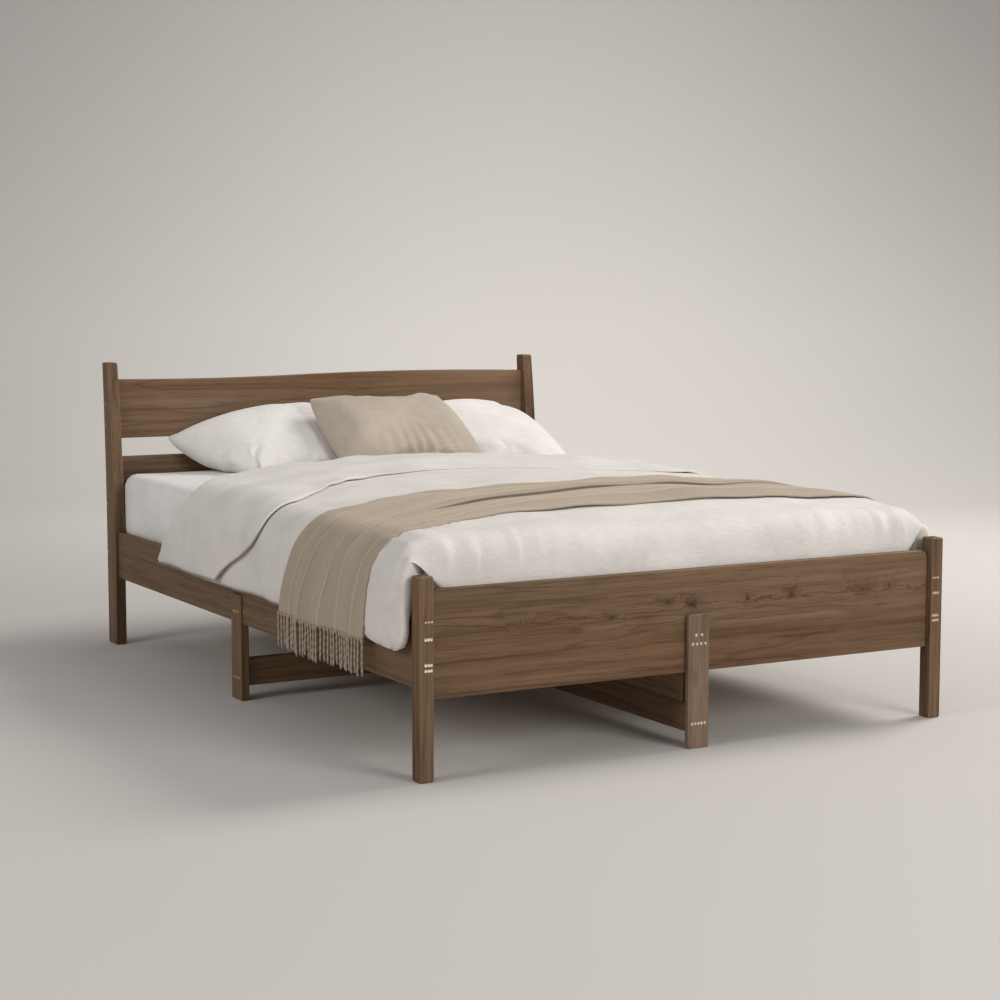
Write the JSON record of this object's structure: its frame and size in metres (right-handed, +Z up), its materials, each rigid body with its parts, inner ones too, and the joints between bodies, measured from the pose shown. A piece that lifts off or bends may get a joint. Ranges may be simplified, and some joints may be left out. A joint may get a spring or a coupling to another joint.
{
  "type": "double bed",
  "caption": "Wooden double bed with raked head posts, boarded headboard, low footboard panel, slatted base, mattress, duvet, fringed throw, pillows and cushion.",
  "frame": {"origin": "on the floor under the middle of the bed's outline", "axes": "+Z up, +Y towards the head of the bed, +X to the right seen from the foot"},
  "size_m": [1.543, 2.126, 0.856],
  "materials": {
    "frame_wood": "walnut-brown stain, satin, knots and open grain",
    "slat_wood": "planed pine, unfinished",
    "peg_wood": "pale birch, end grain",
    "screw_brass": "pale brass, satin",
    "bolt_steel": "zinc plated",
    "tape_webbing": "woven polyester tape",
    "mattress_ticking": "quilted cotton ticking",
    "sheet_cotton": "white cotton, matt",
    "duvet_cotton": "off-white washed cotton, matt",
    "throw_knit": "taupe ribbed knit with twisted fringe",
    "pillow_cotton": "white cotton, matt",
    "cushion_linen": "beige linen, matt"
  },
  "bodies": {
    "frame": {"head_post_left": "frame_wood", "head_post_right": "frame_wood", "foot_post_left": "frame_wood", "foot_post_right": "frame_wood", "headboard_upper_board": "frame_wood", "headboard_lower_board": "frame_wood", "head_end_rail": "frame_wood", "footboard_panel": "frame_wood", "side_rail_left": "frame_wood", "side_rail_right": "frame_wood", "side_leg_left": "frame_wood", "side_leg_right": "frame_wood", "foot_center_leg": "frame_wood", "head_center_leg": "frame_wood", "center_stretcher": "frame_wood", "cross_stretcher": "frame_wood", "center_beam": "frame_wood", "slat_ledge_left": "slat_wood", "slat_ledge_right": "slat_wood", "slat_01": "slat_wood", "slat_02": "slat_wood", "slat_03": "slat_wood", "slat_04": "slat_wood", "slat_05": "slat_wood", "slat_06": "slat_wood", "slat_07": "slat_wood", "slat_08": "slat_wood", "slat_09": "slat_wood", "slat_10": "slat_wood", "slat_11": "slat_wood", "slat_12": "slat_wood", "slat_13": "slat_wood", "slat_14": "slat_wood", "rail_foot_screws": "screw_brass", "head_post_screws": "screw_brass", "center_leg_screws": "screw_brass", "side_leg_screws": "screw_brass", "slat_screws": "screw_brass", "ledge_screws": "screw_brass", "rail_bolts": "bolt_steel", "barrel_nuts": "bolt_steel", "slat_tape_left": "tape_webbing", "slat_tape_right": "tape_webbing", "tenon_pegs": "peg_wood"},
    "mattress": {"mattress": "mattress_ticking", "fitted_sheet": "sheet_cotton"},
    "duvet": {"duvet": "duvet_cotton"},
    "throw": {"throw": "throw_knit"},
    "pillow_left": {"pillow_left": "pillow_cotton"},
    "pillow_right": {"pillow_right": "pillow_cotton"},
    "cushion": {"cushion": "cushion_linen"}
  },
  "joints": [
    {"name": "mattress_lift", "type": "slide", "parent": "frame", "child": "mattress", "axis": [0, 0, 1], "range_m": [0, 0.56]},
    {"name": "duvet_lift", "type": "slide", "parent": "mattress", "child": "duvet", "axis": [0, 0, 1], "range_m": [0, 0.3]},
    {"name": "throw_lift", "type": "slide", "parent": "duvet", "child": "throw", "axis": [0, 0, 1], "range_m": [0, 0.34]},
    {"name": "pillow_left_lift", "type": "slide", "parent": "mattress", "child": "pillow_left", "axis": [0, 0, 1], "range_m": [0, 0.3]},
    {"name": "pillow_right_lift", "type": "slide", "parent": "pillow_left", "child": "pillow_right", "axis": [0, 0, 1], "range_m": [0, 0.3]},
    {"name": "cushion_lift", "type": "slide", "parent": "pillow_right", "child": "cushion", "axis": [0, 0, 1], "range_m": [0, 0.25]}
  ]
}
